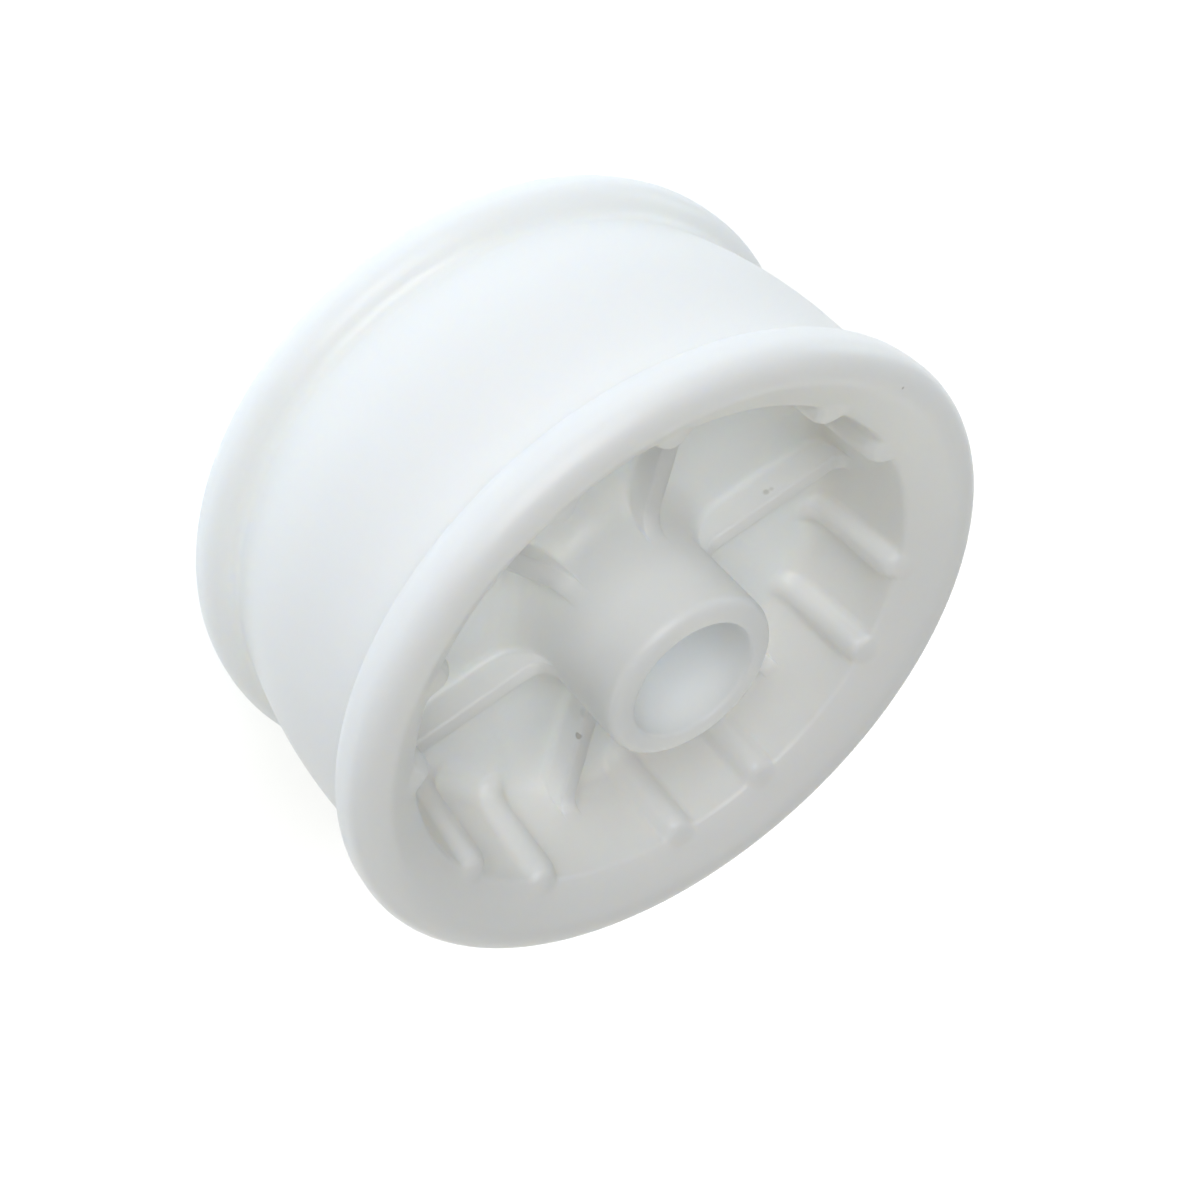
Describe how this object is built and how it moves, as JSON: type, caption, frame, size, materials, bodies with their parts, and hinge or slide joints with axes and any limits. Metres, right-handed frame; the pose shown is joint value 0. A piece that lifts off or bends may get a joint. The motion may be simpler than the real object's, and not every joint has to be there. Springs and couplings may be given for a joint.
{
  "type": "dryer idler pulley",
  "caption": "Plastic idler pulley for a flat belt: a crowned drum between raised lips, with a ribbed web and a long hub with a plain bore.",
  "frame": {"origin": "on the spin axis, half way along the pulley", "axes": "+Z along the spin axis, towards the front lip; +X towards no feature in particular"},
  "size_m": [0.0635, 0.0634, 0.032],
  "materials": {
    "pulley": "white moulded plastic, slightly translucent, with a soft sheen"
  },
  "bodies": {
    "root": {"pulley": "pulley"}
  },
  "joints": []
}
